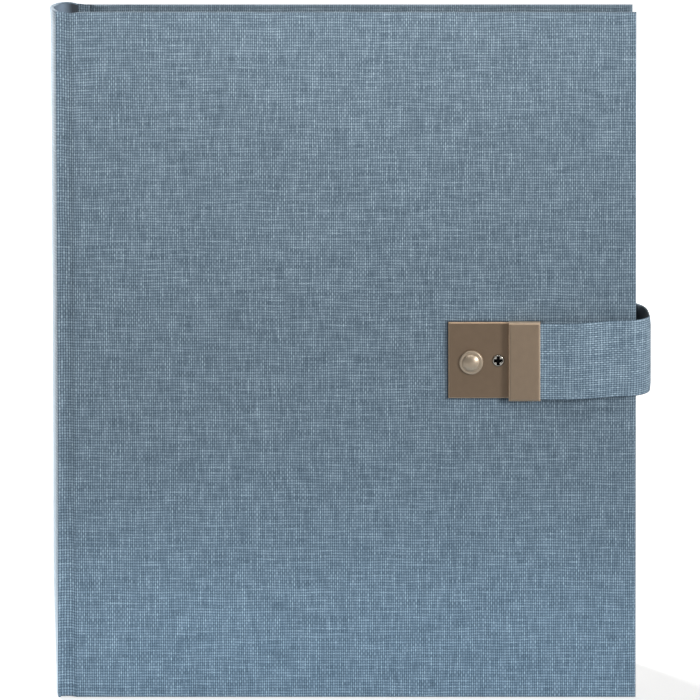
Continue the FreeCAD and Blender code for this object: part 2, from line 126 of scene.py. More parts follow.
def slab(name, xs, zs, outer, inner, holes=(), uv=None, top=None):
    """A closed sheet over a plan of columns xs and rows zs. outer and inner give the y of each face;
    holes are (x0, x1, z0, z1) left open; top can lower or raise the rows at each x."""
    nx, nz = len(xs), len(zs)
    flip = outer(xs[nx // 2], zs[nz // 2]) > inner(xs[nx // 2], zs[nz // 2])
    faces = []

    def is_open(i, k):
        x = (xs[i] + xs[i + 1]) / 2
        z = (zs[k] + zs[k + 1]) / 2
        return any(a < x < b and c < z < d for a, b, c, d in holes)

    def at(side, i, k):
        return side * nx * nz + k * nx + i

    def add(*loop):
        faces.append(tuple(reversed(loop)) if flip else loop)

    verts, uvs = [], []
    for side in (outer, inner):
        for k in range(nz):
            for i in range(nx):
                x, z = xs[i], zs[k]
                zz = top(x, z) if top else z
                y = side(x, z)
                verts.append((x, y, zz))
                uvs.append(uv(x, y, z) if uv else (x, z))
    for k in range(nz - 1):
        for i in range(nx - 1):
            if is_open(i, k):
                continue
            add(at(0, i, k), at(0, i + 1, k), at(0, i + 1, k + 1), at(0, i, k + 1))
            add(at(1, i, k), at(1, i, k + 1), at(1, i + 1, k + 1), at(1, i + 1, k))
            if i == 0 or is_open(i - 1, k):
                add(at(0, i, k), at(0, i, k + 1), at(1, i, k + 1), at(1, i, k))
            if i == nx - 2 or is_open(i + 1, k):
                add(at(0, i + 1, k + 1), at(0, i + 1, k), at(1, i + 1, k), at(1, i + 1, k + 1))
            if k == 0 or is_open(i, k - 1):
                add(at(0, i + 1, k), at(0, i, k), at(1, i, k), at(1, i + 1, k))
            if k == nz - 2 or is_open(i, k + 1):
                add(at(0, i, k + 1), at(0, i + 1, k + 1), at(1, i + 1, k + 1), at(1, i, k + 1))
    return reworked(make_object(name, verts, faces, uvs), prune)


def reworked(obj, change):
    """Runs change on the object's mesh, opened for editing."""
    bm = bmesh.new()
    bm.from_mesh(obj.data)
    change(bm)
    bm.to_mesh(obj.data)
    bm.free()
    return obj


def prune(bm):
    """Drops vertices no face uses."""
    bmesh.ops.delete(bm, geom=[v for v in bm.verts if not v.link_faces], context="VERTS")


def outward(bm):
    """Turns every face of a closed mesh to look outwards."""
    bmesh.ops.recalc_face_normals(bm, faces=bm.faces)


def weld(bm):
    """Joins the vertices that the rounded corners bring together."""
    bmesh.ops.remove_doubles(bm, verts=bm.verts, dist=0.001 * MM)
    bmesh.ops.dissolve_degenerate(bm, edges=bm.edges, dist=0.001 * MM)


def roundover(d, radius):
    """How far a face drops at a distance d inside its edge, for a rounded edge."""
    if d >= radius:
        return 0.0
    return radius - math.sqrt(max(radius ** 2 - (radius - d) ** 2, 0.0))


def unit(t):
    """t, kept between 0 and 1."""
    return min(max(t, 0.0), 1.0)


def smooth_step(t):
    """An even rise from 0 to 1 that starts and ends gently."""
    t = unit(t)
    return t * t * (3 - 2 * t)


# ---- materials ----------------------------------------------------------------------------------

class Nodes:
    """Short calls for building a node tree."""

    def __init__(self, name):
        self.mat = bpy.data.materials.new(name)
        self.mat.use_nodes = True
        self.tree = self.mat.node_tree
        self.tree.nodes.clear()
        self.out = self.tree.nodes.new("ShaderNodeOutputMaterial")
        self.bsdf = self.tree.nodes.new("ShaderNodeBsdfPrincipled")
        self.tree.links.new(self.bsdf.outputs[0], self.out.inputs[0])

    def put(self, value, socket):
        if isinstance(value, bpy.types.NodeSocket):
            self.tree.links.new(value, socket)
        elif isinstance(value, (tuple, list)) and len(value) == 3 and socket.type == "RGBA":
            socket.default_value = (*value, 1.0)
        else:
            socket.default_value = value

    def set(self, **inputs):
        for key, value in inputs.items():
            self.put(value, self.bsdf.inputs[key.replace("_", " ")])
        return self

    def math(self, op, a, b=0.0, c=0.0, clamp=False):
        node = self.tree.nodes.new("ShaderNodeMath")
        node.operation = op
        node.use_clamp = clamp
        for socket, value in zip(node.inputs, (a, b, c)):
            self.put(value, socket)
        return node.outputs[0]

    def uv(self):
        """The mesh's own (u, v), in millimetres."""
        coords = self.tree.nodes.new("ShaderNodeUVMap")
        coords.uv_map = "UVMap"
        split = self.tree.nodes.new("ShaderNodeSeparateXYZ")
        self.tree.links.new(coords.outputs[0], split.inputs[0])
        return tuple(self.math("MULTIPLY", s, IN_MM) for s in split.outputs[:2])

    def object_mm(self):
        """The object's own x, y and z, in millimetres."""
        coords = self.tree.nodes.new("ShaderNodeTexCoord")
        split = self.tree.nodes.new("ShaderNodeSeparateXYZ")
        self.tree.links.new(coords.outputs["Object"], split.inputs[0])
        return tuple(self.math("MULTIPLY", s, IN_MM) for s in split.outputs)

    def vector(self, x, y, z=0.0):
        node = self.tree.nodes.new("ShaderNodeCombineXYZ")
        for socket, value in zip(node.inputs, (x, y, z)):
            self.put(value, socket)
        return node.outputs[0]

    def noise(self, vector, scale=1.0, detail=2.0, rough=0.5):
        node = self.tree.nodes.new("ShaderNodeTexNoise")
        self.put(vector, node.inputs["Vector"])
        node.inputs["Scale"].default_value = scale
        node.inputs["Detail"].default_value = detail
        node.inputs["Roughness"].default_value = rough
        return node.outputs[0]

    def ramp(self, value, *stops):
        node = self.tree.nodes.new("ShaderNodeValToRGB")
        self.put(value, node.inputs[0])
        while len(node.color_ramp.elements) < len(stops):
            node.color_ramp.elements.new(0.5)
        for element, (position, colour) in zip(node.color_ramp.elements, stops):
            element.position = position
            element.color = (*colour, 1.0)
        return node.outputs[0]

    def mix(self, factor, a, b, blend="MIX"):
        node = self.tree.nodes.new("ShaderNodeMix")
        node.data_type = "RGBA"
        node.blend_type = blend
        self.put(factor, node.inputs[0])
        self.put(a, node.inputs[6])
        self.put(b, node.inputs[7])
        return node.outputs[2]

    def range(self, value, a, b, c, d):
        node = self.tree.nodes.new("ShaderNodeMapRange")
        self.put(value, node.inputs[0])
        for socket, number in zip(node.inputs[1:5], (a, b, c, d)):
            self.put(number, socket)
        return node.outputs[0]

    def scaled(self, place, factors):
        """A place's coordinates, each times its own factor, as a vector."""
        return self.vector(*(self.math("MULTIPLY", s, k) for s, k in zip(place, factors)))

    def vector_math(self, op, a, b=None):
        node = self.tree.nodes.new("ShaderNodeVectorMath")
        node.operation = op
        self.put(a, node.inputs[0])
        if b is not None:
            self.put(b, node.inputs[1])
        return node.outputs["Value" if op == "DOT_PRODUCT" else "Vector"]

    def outside(self, along, low, high):
        """How far a coordinate lies outside a span given in metres, negative within it."""
        before = self.math("SUBTRACT", low * IN_MM, along)
        return self.math("MAXIMUM", before, self.math("SUBTRACT", along, high * IN_MM))

    def bump(self, height, strength, distance, normal=None):
        node = self.tree.nodes.new("ShaderNodeBump")
        node.inputs["Strength"].default_value = strength
        node.inputs["Distance"].default_value = distance
        self.put(height, node.inputs["Height"])
        if normal is not None:
            self.put(normal, node.inputs["Normal"])
        return node.outputs[0]


def linear(r, g, b):
    """A colour given as it looks on screen, 0 to 255."""
    shares = [c / 255.0 for c in (r, g, b)]
    return tuple(c / 12.92 if c <= 0.04045 else ((c + 0.055) / 1.055) ** 2.4 for c in shares)


WARP_PITCH = 1.0              # millimetres from thread to thread
WEFT_PITCH = 1.29
PAINTED_SHEEN_COLOUR = (0.66, 0.79, 0.90)     # painted sheen: the linen's colour where it turns away from the viewer
WEAVE_BUMP = 0.0002
WORN_AND_HIGHLIT_EDGE = 0.35 * MM         # how far in from an edge metal is made brighter, partly worn and partly a painted highlight


def linen(name, tone=1.0, turned=False, painted_sheen=False, shaded_round=None):
    """Plain-weave linen: two sets of threads of uneven thickness that pass over and under. painted_sheen
    lightens it as a painted sheen where it turns away from the viewer; shaded_round is the outline, low
    and high, of something let into the cloth, round which a painted shadow darkens it."""
    n = Nodes(name)
    u, v = n.uv()
    if turned:
        u, v = v, u

    def drift(scale, seed):
        """A slow wander, in pitches, so that no thread runs dead straight."""
        return n.math("MULTIPLY", n.noise(n.vector(u, v, seed), scale, 1), 0.9)

    def along(count, run, length, seed):
        """A value that changes from thread to thread and slowly along each one."""
        return n.noise(n.vector(count, n.math("DIVIDE", run, length), seed), 1.0, 2, 0.6)

    a = n.math("ADD", n.math("DIVIDE", u, WARP_PITCH), drift(0.035, 1.0))
    b = n.math("ADD", n.math("DIVIDE", v, WEFT_PITCH), drift(0.045, 5.0))
    sine_a = n.math("SINE", n.math("MULTIPLY", a, math.pi))
    sine_b = n.math("SINE", n.math("MULTIPLY", b, math.pi))
    over = n.math("MULTIPLY", sine_a, sine_b)
    count_a = n.math("MULTIPLY", n.math("FLOOR", a), 1.7)
    count_b = n.math("MULTIPLY", n.math("FLOOR", b), 1.7)
    full_a = n.range(along(count_a, v, 10.0, 11.0), 0.3, 0.7, 0.64, 1.14)
    full_b = n.range(along(count_b, u, 14.0, 23.0), 0.3, 0.7, 0.50, 1.02)
    warp = n.math("MULTIPLY", n.math("ABSOLUTE", sine_a), full_a)
    weft = n.math("MULTIPLY", n.math("ABSOLUTE", sine_b), full_b)
    warp = n.math("MULTIPLY", warp, n.math("MULTIPLY_ADD", over, 0.25, 0.75))
    weft = n.math("MULTIPLY", weft, n.math("MULTIPLY_ADD", over, -0.30, 0.68))
    height = n.math("MULTIPLY_ADD", n.math("MINIMUM", warp, weft), 0.25, n.math("MAXIMUM", warp, weft))
    slub_a = n.range(along(count_a, v, 26.0, 41.0), 0.60, 0.78, 0.0, 1.0)
    slub_b = n.range(along(count_b, u, 22.0, 53.0), 0.58, 0.76, 0.0, 1.0)
    fibre = n.range(n.noise(n.vector(u, v), 2.4, 2, 0.6), 0.3, 0.7, -0.5, 0.5)
    value = n.math("MULTIPLY_ADD", height, 0.84, 0.01)
    value = n.math("MULTIPLY_ADD", slub_a, 0.11, value)
    value = n.math("MULTIPLY_ADD", slub_b, 0.05, value)
    value = n.math("MULTIPLY_ADD", fibre, 0.16, value)

    def c(r, g, b):
        return linear(r * tone, g * tone, b * tone)

    colour = n.ramp(value, (0.12, c(45, 61, 74)), (0.38, c(85, 103, 117)),
                    (0.66, c(125, 143, 156)), (1.0, c(177, 195, 207)))
    cloud = n.range(n.noise(n.vector(u, v), 0.012, 3, 0.55), 0.3, 0.7, 0.0, 1.0)
    colour = n.mix(0.18, colour, n.mix(cloud, c(92, 108, 124), c(140, 160, 176)), "SOFT_LIGHT")
    if shaded_round:
        # painted shadow: darker close round the outline of what is let into the cloth
        low, high = shaded_round
        beside = n.outside(u, low.x, high.x)
        above = n.math("MULTIPLY", n.outside(v, low.z, high.z), 2.5)
        painted_shadow = n.range(n.math("MAXIMUM", beside, above), 0.0, 3.0, 0.85, 0.0)
        colour = n.mix(painted_shadow, colour, c(28, 38, 48))
    if painted_sheen:
        # painted sheen: paler where the cloth turns away from the viewer
        geometry = n.tree.nodes.new("ShaderNodeNewGeometry")
        level = n.vector_math("MULTIPLY", geometry.outputs["Incoming"], (1.0, 1.0, 0.0))
        facing = n.vector_math("DOT_PRODUCT", n.vector_math("NORMALIZE", level), geometry.outputs["Normal"])
        colour = n.mix(n.range(facing, 0.20, 0.40, 0.66, 0.0), colour, PAINTED_SHEEN_COLOUR)
    n.set(Base_Color=colour, Roughness=n.range(height, 0.0, 1.0, 0.95, 0.8))
    n.set(Normal=n.bump(value, 0.5, WEAVE_BUMP), Sheen_Weight=0.08, Sheen_Roughness=0.5)
    return n.mat


def darker(colour, share):
    return tuple(c * share for c in colour)


def brighter(colour, times):
    return tuple(min(c * times, 1.0) for c in colour)


def paper(name, base, fleck, scale, bump, cloud=0.35, shade_from_y=None, creases=()):
    """Matt paper with fibres. cloud is the strength of its blotches, shade_from_y the y beyond which the
    spine's inside is painted dark as shade, creases the x of creased lines, in millimetres, each with
    painted shade in its groove."""
    n = Nodes(name)
    x, y, z = n.object_mm()
    place = n.vector(x, y, z)
    fibres = n.noise(place, scale, 4, 0.65)
    blotch = n.noise(place, 0.03, 2)
    colour = n.mix(n.range(fibres, 0.35, 0.65, 0.0, 1.0), base, fleck)
    colour = n.mix(n.range(blotch, 0.35, 0.7, 0.0, cloud), colour, darker(base, 0.82))
    height = fibres
    for crease in creases:
        away = n.math("ABSOLUTE", n.math("SUBTRACT", x, crease))
        groove = n.range(away, 0.15, 0.6, 1.0, 0.0)
        # painted shade in the groove of each crease
        colour = n.mix(n.math("MULTIPLY", groove, 0.30), colour, darker(base, 0.45))
        height = n.math("MULTIPLY_ADD", groove, -1.5, height)
    if shade_from_y is not None:
        # painted shade: darker towards the rear of the spine's inside
        across = n.math("DIVIDE", n.math("SUBTRACT", y, shade_from_y * IN_MM), HALF_DEPTH * IN_MM)
        colour = n.mix(n.range(across, 0.40, 0.75, 0.0, 0.92), colour, darker(base, 0.06))
    n.set(Base_Color=colour, Roughness=n.range(fibres, 0.3, 0.7, 0.84, 0.95))
    n.set(Normal=n.bump(height, bump, 0.0002))
    return n.mat


def leatherette(name, base):
    """Smooth coated lining with a fine grain."""
    n = Nodes(name)
    u, v = n.uv()
    cells = n.tree.nodes.new("ShaderNodeTexVoronoi")
    cells.feature = "DISTANCE_TO_EDGE"
    cells.inputs["Scale"].default_value = 1.6
    n.put(n.vector(u, v), cells.inputs["Vector"])
    grain = n.range(cells.outputs[0], 0.0, 0.25, 0.0, 1.0)
    shade = n.noise(n.vector(u, v), 0.15, 3)
    colour = n.mix(n.range(shade, 0.3, 0.7, 0.0, 1.0), base, brighter(base, 1.5))
    n.set(Base_Color=colour, Roughness=n.range(shade, 0.3, 0.7, 0.5, 0.66), Normal=n.bump(grain, 0.2, 0.0001))
    return n.mat


def metal(name, base, rough, metallic, brushed=None, wear_and_highlight=0.25, grain=0.05, shade_behind_y=None, rim=None):
    """Satin metal: fine brushing along one axis, faint scratches and brighter edges, partly worn bright and
    partly a painted highlight. shade_behind_y is the y, in millimetres, behind which a keyhole is painted
    black as shade; rim is the outline, low and high, and the width in millimetres of a bright edge line:
    a chamfer with a polish and a painted highlight."""
    n = Nodes(name)
    x, y, z = place = n.object_mm()
    stretch = {"x": (0.05, 1.0, 1.0), "z": (1.0, 1.0, 0.05), None: (0.7, 0.7, 0.7)}[brushed]
    lines = n.noise(n.scaled(place, stretch), 6.0, 4, 0.7)
    blotch = n.noise(n.vector(x, y, z), 0.25, 3)
    scratch = n.range(n.noise(n.scaled(place, (0.4, 1.0, 3.0)), 2.0, 5, 0.8), 0.66, 0.72, 0.0, 1.0)
    bevel = n.tree.nodes.new("ShaderNodeBevel")
    bevel.samples = 6
    bevel.inputs["Radius"].default_value = WORN_AND_HIGHLIT_EDGE
    geometry = n.tree.nodes.new("ShaderNodeNewGeometry")
    turn = n.vector_math("DOT_PRODUCT", bevel.outputs[0], geometry.outputs["Normal"])
    edge = n.range(turn, 0.999, 0.90, 0.0, 1.0)
    edge = n.math("MULTIPLY", edge, n.range(blotch, 0.25, 0.6, 0.4, 1.0))
    bright = brighter(base, 1.9)
    colour = n.mix(n.range(lines, 0.3, 0.7, 0.0, 0.5), base, brighter(base, 1.22))
    colour = n.mix(n.range(blotch, 0.3, 0.75, 0.0, 0.35), colour, darker(base, 0.8))
    # brighter edges: partly worn, partly a painted highlight
    colour = n.mix(n.math("MULTIPLY", edge, wear_and_highlight), colour, bright)
    colour = n.mix(n.math("MULTIPLY", scratch, 0.12), colour, bright)
    if rim is not None:
        # bright edge line: a chamfer with a polish and a painted highlight
        low, high, width = rim
        beyond = n.math("MAXIMUM", n.outside(x, low.x, high.x), n.outside(z, low.z, high.z))
        line = n.range(beyond, -width, -0.7 * width, 0.0, 1.0)
        polished_and_highlit = n.math("MULTIPLY", line, n.range(blotch, 0.2, 0.6, 0.55, 0.9))
        colour = n.mix(polished_and_highlit, colour, brighter(base, 3.4))
    if shade_behind_y is not None:
        # painted shade: the keyway turns black behind this y
        keyway_shade = n.range(y, shade_behind_y + 0.1, shade_behind_y + 0.7, 0.0, 1.0)
        colour = n.mix(keyway_shade, colour, (0.004, 0.004, 0.004))
    n.set(Base_Color=colour, Metallic=metallic)
    satin = n.range(lines, 0.3, 0.7, rough - 0.05, rough + 0.07)
    n.set(Roughness=n.math("MULTIPLY_ADD", scratch, -0.06, satin))
    n.set(Normal=n.bump(lines, grain, 0.0001, bevel.outputs[0] if rim is None else None))
    return n.mat


LINEN = linen("linen_grey_blue")
# the front cover's linen, with a painted shadow round the lock plate
LINEN_FRONT = linen("linen_front", shaded_round=(PLATE_LO, PLATE_HI))
LINEN_STRAP = linen("linen_strap", tone=1.10, turned=True)
# the spine's linen, with a painted sheen along its outline
LINEN_SPINE = linen("linen_spine", painted_sheen=True)
# a darker copy of the linen for the covers' inner faces: painted shade
LINEN_INSIDE_SHADED = linen("linen_turned_in", tone=0.86)
LINING = paper("lining_paper_blue", linear(92, 108, 124), linear(104, 121, 138), scale=0.6, bump=0.10)
# the spine's lining, with painted shade towards the rear joint
SPINE_LINING = paper("spine_lining_paper", linear(116, 132, 149), linear(126, 143, 160), scale=0.6, bump=0.10,
                     shade_from_y=MID_Y)
PAGES_LO, PAGES_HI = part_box("page_block")
PAPER = paper("page_paper", linear(216, 210, 197), linear(224, 219, 207), scale=0.5, bump=0.15, cloud=0.10,
              creases=(PAGES_LO.x * IN_MM + 24.0, PAGES_LO.x * IN_MM + 27.0))
STRAP_LINING = leatherette("strap_lining", linear(52, 62, 74))
PLATE_METAL = metal("lock_plate_metal", linear(124, 105, 86), rough=0.42, metallic=0.55, brushed="x",
                    rim=(PLATE_LO, PLATE_HI, 0.5))
SLEEVE_METAL = metal("key_sleeve_metal", linear(100, 86, 70), rough=0.42, metallic=0.55)
CAP_METAL = metal("cap_metal", linear(147, 128, 108), rough=0.40, metallic=0.55, brushed="z",
                  rim=(*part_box("end_cap"), 0.45))
BUTTON_METAL = metal("button_metal", linear(176, 160, 140), rough=0.38, metallic=0.6, wear_and_highlight=0.6, grain=0.01)
# the key's plug, with its keyway painted black as shade
KEY_METAL = metal("key_metal", linear(196, 192, 184), rough=0.2, metallic=0.95, grain=0.01,
                  shade_behind_y=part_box("key_plug")[0].y * IN_MM)
STEEL = metal("zinc_steel", linear(160, 160, 158), rough=0.36, metallic=0.95)


def paint(obj, material):
    """Gives the whole object one material."""
    obj.data.materials.clear()
    obj.data.materials.append(material)
    return obj


# ---- covers -------------------------------------------------------------------------------------

EDGE_R = 1.1 * MM             # rounding of the covers' edges
SKIN_T = 1.2 * MM             # thickness of the cloth at a joint
SKIN_DROP = SKIN_T * 0.45     # the most that rounding takes off either face there
JOINT_DIP = 0.55 * MM         # depth of the groove along a joint
JOINT_SPREAD = 0.8 * MM       # how far the joints reach outwards
FOOT_SPREAD = 0.7 * MM        # and how much more at the foot
SPREAD_RUN = 120 * MM         # the height over which that dies out
FOOT_GAP = 0.35 * MM          # the joint stops this far above the board's foot
HEAD_LOW = 0.35 * MM          # dip of the front cover's head beside the joint
HEAD_END = 0.35 * MM          # and its climb to the spine
TURN_IN_H = 5.5 * MM          # the bare turned-in cloth above the lining
GRID = 9 * MM                 # spacing of a cover's columns and rows
LINING_MARGIN = 9 * MM        # the lining reaches this much further than the CAD's
LINING_PAPER_T = 0.28 * MM


def spread(z):
    """How far the joints reach outwards at a height."""
    return JOINT_SPREAD + FOOT_SPREAD * smooth_step(1 - z / SPREAD_RUN)


def edge_stops(low, high, inward, spacing):
    """Columns or rows across a cover, close together where the edges are rounded."""
    fine = [0.0, 0.04, 0.15, 0.35, 0.65, 1.0, 1.6]
    start = [low + EDGE_R * f for f in fine]
    end = [high - EDGE_R * f for f in reversed(fine)]
    count = max(2, round((end[0] - start[-1]) / spacing))
    middle = [start[-1] + (end[0] - start[-1]) * i / count for i in range(1, count)]
    return (start if inward else []) + middle + end


def cover_skin(name, side, holes=()):
    """The linen-covered board with its cloth joint, as one continuous piece. side is -1 in front."""
    face = FRONT_Y if side < 0 else REAR_Y
    joint_xs = [SPINE_X + JOINT_W * f for f in (0.0, 0.08, 0.2, 0.35, 0.5, 0.65, 0.8, 0.92, 1.0)]
    step_xs = [BOARD_X + MM * f for f in (0.12, 0.4, 0.9, 1.6, 3.0)]
    zs = edge_stops(0.0, HEIGHT, True, GRID)
    across = edge_stops(BOARD_X, FORE_X, False, GRID)
    xs = joint_xs + step_xs + [x for x in across if x > step_xs[-1] + 4 * MM]
    for a, b, c, d in holes:
        xs = sorted(set(xs) | {a, b})
        zs = sorted(set(zs) | {c, d})

    def edge_drop(x, z):
        drop = max(roundover(z, EDGE_R), roundover(HEIGHT - z, EDGE_R))
        return max(drop, roundover(FORE_X - x, EDGE_R))

    def outer(x, z):
        t = (x - SPINE_X) / (JOINT_W + 0.9 * MM)
        dip = JOINT_DIP * math.sin(math.pi * max(t, 0.0)) ** 0.8 if t < 1 else 0.0
        drop = edge_drop(x, z)
        if x < BOARD_X:
            drop = min(drop, SKIN_DROP)
        return face - side * (dip + drop)

    def inner(x, z):
        if x <= BOARD_X:
            return outer(x, HEIGHT / 2) - side * (SKIN_T - min(edge_drop(x, z), SKIN_DROP))
        turned_in = smooth_step((z - HEIGHT + TURN_IN_H) / (2 * MM))
        ramp = smooth_step((x - BOARD_X) / ((0.4 + 2.6 * turned_in) * MM))
        depth = SKIN_T + (COVER_T - SKIN_T) * ramp
        return face - side * (depth - edge_drop(x, z) * ramp)

    def lower(x, z):
        """At the foot the joint stops just short of the board; at the head it dips by the board and
        climbs again."""
        centre = HEIGHT / 2
        t = smooth_step((BOARD_X + 1.0 * MM - x) / (2.0 * MM))
        if z < centre:
            return centre + (z - centre) * (1 - t * FOOT_GAP / centre)
        dip = smooth_step((BOARD_X + 4.5 * MM - x) / (4.0 * MM))
        climb = smooth_step((BOARD_X - 1.0 * MM - x) / (4.0 * MM))
        low = HEAD_LOW if side < 0 else 0.0
        return z + (z - centre) / centre * (HEAD_END * climb - low * (dip - climb))

    def uv(x, y, z):
        turn = abs(face - y)
        over = turn if z > HEIGHT - EDGE_R else (-turn if z < EDGE_R else 0.0)
        along = x + (turn if x > FORE_X - EDGE_R else 0.0)
        return (along, z + over)

    skin = slab(name, xs, zs, outer, inner, holes, uv, lower)
    for vertex in skin.data.vertices:
        vertex.co.x -= spread(vertex.co.z) * unit((BOARD_X - vertex.co.x) / JOINT_W)
    paint(skin, LINEN_FRONT if side < 0 else LINEN)
    skin.data.materials.append(LINEN_INSIDE_SHADED)
    for polygon in skin.data.polygons:
        if polygon.normal.y * side < -0.7:
            polygon.material_index = 1
    return sharpen(skin, 50)


def stand_in(obj, slot, *nodes):
    """The piece is seen in place of these nodes."""
    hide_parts(*nodes)
    return obj


# the opening in the front cover that the lock's case sits in
pocket = (CASE_LO.x - 0.8 * MM, CASE_HI.x + 0.7 * MM, PLATE_LO.z + 1.5 * MM, PLATE_HI.z - 1.5 * MM)
for end, side, openings in (("front", -1, [pocket]), ("rear", 1, [])):
    skin = cover_skin(end + "_cover_linen", side, openings)
    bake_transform(skin)
    stand_in(skin, "linen", end + "_cloth", end + "_board", end + "_joint_cloth")


def lining(name, node, side, body, holes=()):
    """The paper pasted over the turned-in linen on a cover's inner face."""
    lo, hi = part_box(node)
    inner_face = lo.y if side > 0 else hi.y
    x0, x1 = lo.x + 0.5 * MM, hi.x + LINING_MARGIN
    z0, z1 = lo.z - LINING_MARGIN, hi.z + LINING_MARGIN
    xs = steps((x0, 2), (x0 + 1 * MM, 24), (x1 - 1 * MM, 2), (x1, 1))
    zs = steps((z0, 2), (z0 + 1 * MM, 28), (z1 - 1 * MM, 2), (z1, 1))
    for a, b, c, d in holes:
        xs = sorted(set(xs) | {a, b})
        zs = sorted(set(zs) | {c, d})

    def outer(x, z):
        wave = 0.04 * MM * math.sin(x * 61 + z * 23) * math.sin(z * 47)
        return inner_face - side * (LINING_PAPER_T + wave)

    def inner(x, z):
        return inner_face + side * 0.05 * MM

    sheet = sharpen(paint(slab(name, xs, zs, outer, inner, holes), LINING), 40)
    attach(sheet, body)
    stand_in(sheet, "lining", node)


lining("front_lining_paper", "front_lining", -1, "front_cover", [pocket])
lining("rear_lining_paper", "rear_lining", 1, "rear_cover")


# ---- spine --------------------------------------------------------------------------------------

SHELL_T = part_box("spine_lining")[0].x - SPINE_LO.x
SPINE_PAPER_T = 0.45 * MM
HEAD_RUN = 9 * MM             # the spine's head is raised and flared over this height
HEAD_RAISE = 1.5 * MM         # how far up it is raised in the middle
FOOT_RUN = 60 * MM            # the spine's foot is drawn in over this height
FOOT_PINCH = 1.6 * MM


def curved_sheet(name, r_out, r_in, z0, z1, round_r, material, flare, half=SPINE_HALF, count=36):
    """A closed curved sheet about the spine's axis, with rounded top and bottom edges."""
    bend = min(round_r, (r_out - r_in) / 2 * 0.98)

    def push(z, angle):
        """The head mushrooms outward a little, more towards the rear; it dies out at the joints."""
        side = (angle - math.pi) / half
        return flare * smooth_step(1 - (z1 - z) / HEAD_RUN) ** 2 * (1.0 - 0.5 * side) * (1 - side ** 4)

    def raise_by(z, angle):
        side = (angle - math.pi) / half
        lift = HEAD_RAISE * (1 - 0.2 * side) * (1 - side ** 4) + HEAD_END
        return lift * smooth_step(1 - (z1 - z) / HEAD_RUN)

    def slump(z, angle):
        """The spine meets the spread joints, and at the foot it draws level with them."""
        edge = ((angle - math.pi) / SPINE_HALF) ** 2
        return FOOT_PINCH * smooth_step(1 - z / FOOT_RUN) * (1 - edge) - spread(z) * edge

    def corners(r, z, way_r, way_z, turn):
        """A rounded corner; way_r and way_z point from its centre to the face and the end."""
        return [(r + way_r * bend * math.cos(a), z + way_z * bend * math.sin(a)) for a in turn]

    side_z = steps((z0 + bend, 4), (z0 + 16 * MM, 24), (z1 - 12 * MM, 9), (z1 - bend, 1))
    leave = [math.radians(a) for a in (22.5, 45, 67.5, 90)]
    enter = leave[::-1]
    outline = [(r_out, z) for z in side_z]
    outline += corners(r_out - bend, z1 - bend, 1, 1, leave) + corners(r_in + bend, z1 - bend, -1, 1, enter)
    outline += [(r_in, z) for z in reversed(side_z)]
    outline += corners(r_in + bend, z0 + bend, -1, -1, leave) + corners(r_out - bend, z0 + bend, 1, -1, enter)
    m = len(outline)
    verts, uvs, faces = [], [], []
    for j in range(count + 1):
        angle = math.pi - half + 2 * half * j / count
        for radius, z in outline:
            r = radius + push(z, angle)
            x = SPINE_CX + r * math.cos(angle) + slump(z, angle)
            verts.append((x, MID_Y + r * math.sin(angle), z + raise_by(z, angle)))
            uvs.append((angle * r_out, z + (r_out - radius)))
    for j in range(count):
        for i in range(m):
            a, b = j * m + i, j * m + (i + 1) % m
            faces.append((a, a + m, b + m, b))
    faces.append(tuple(range(m)))
    faces.append(tuple(reversed(range(count * m, count * m + m))))
    sheet = make_object(name, verts, faces, uvs)
    return sharpen(paint(sheet, material), 50)


inner_r = SPINE_R - SHELL_T
spine_linen = curved_sheet("spine_linen", SPINE_R, inner_r, 0.0, HEIGHT, 1.0 * MM, LINEN_SPINE, 0.5 * MM)
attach(spine_linen, "spine")
stand_in(spine_linen, "linen", "spine_cloth", "spine_card")
spine_paper = curved_sheet("spine_lining_paper", inner_r, inner_r - SPINE_PAPER_T, 3.5 * MM,
                           HEIGHT - 0.7 * MM, 0.2 * MM, SPINE_LINING, 0.4 * MM, SPINE_HALF * 0.97)
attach(spine_paper, "spine")
stand_in(spine_paper, "lining", "spine_lining")


# ---- pages --------------------------------------------------------------------------------------

def sheet_mesh(verts, faces, uvs, x0, x1, z0, z1, y0, y1, corner, bow, nx=8, nz=10):
    """Adds one thin sheet of paper with rounded outer corners and a slight bow."""
    base = len(verts)
    xs = [x0 + (x1 - x0) * i / nx for i in range(nx)] + [x1 - corner, x1 - corner * 0.3, x1]
    xs = sorted(set(xs))
    zs = [z0, z0 + corner * 0.3, z0 + corner] + [z0 + (z1 - z0) * i / nz for i in range(1, nz)]
    zs += [z1 - corner, z1 - corner * 0.3, z1]
    nxs = len(xs)
    count = nxs * len(zs)

    def at(s, i, k):
        return base + s * count + k * nxs + i

    for y in (y0, y1):
        for z in zs:
            for x in xs:
                t = max(x - (x1 - corner), 0.0) / corner
                trim = corner * (1 - math.sqrt(max(1 - t * t, 0.0)))
                zz = min(max(z, z0 + trim), z1 - trim)
                across, up = (x - x0) / (x1 - x0), (z - z0) / (z1 - z0)
                lift = bow * math.sin(across * math.pi) * math.cos(up * math.pi)
                verts.append((x, y + lift, zz))
                uvs.append((x, z))
    for k in range(len(zs) - 1):
        for i in range(nxs - 1):
            faces.append((at(0, i, k), at(0, i + 1, k), at(0, i + 1, k + 1), at(0, i, k + 1)))
            faces.append((at(1, i, k), at(1, i, k + 1), at(1, i + 1, k + 1), at(1, i + 1, k)))
    for k in range(len(zs) - 1):
        faces.append((at(0, 0, k), at(0, 0, k + 1), at(1, 0, k + 1), at(1, 0, k)))
        faces.append((at(0, nxs - 1, k + 1), at(0, nxs - 1, k), at(1, nxs - 1, k), at(1, nxs - 1, k + 1)))
    last = len(zs) - 1
    for i in range(nxs - 1):
        faces.append((at(0, i + 1, 0), at(0, i, 0), at(1, i, 0), at(1, i + 1, 0)))
        faces.append((at(0, i, last), at(0, i + 1, last), at(1, i + 1, last), at(1, i, last)))


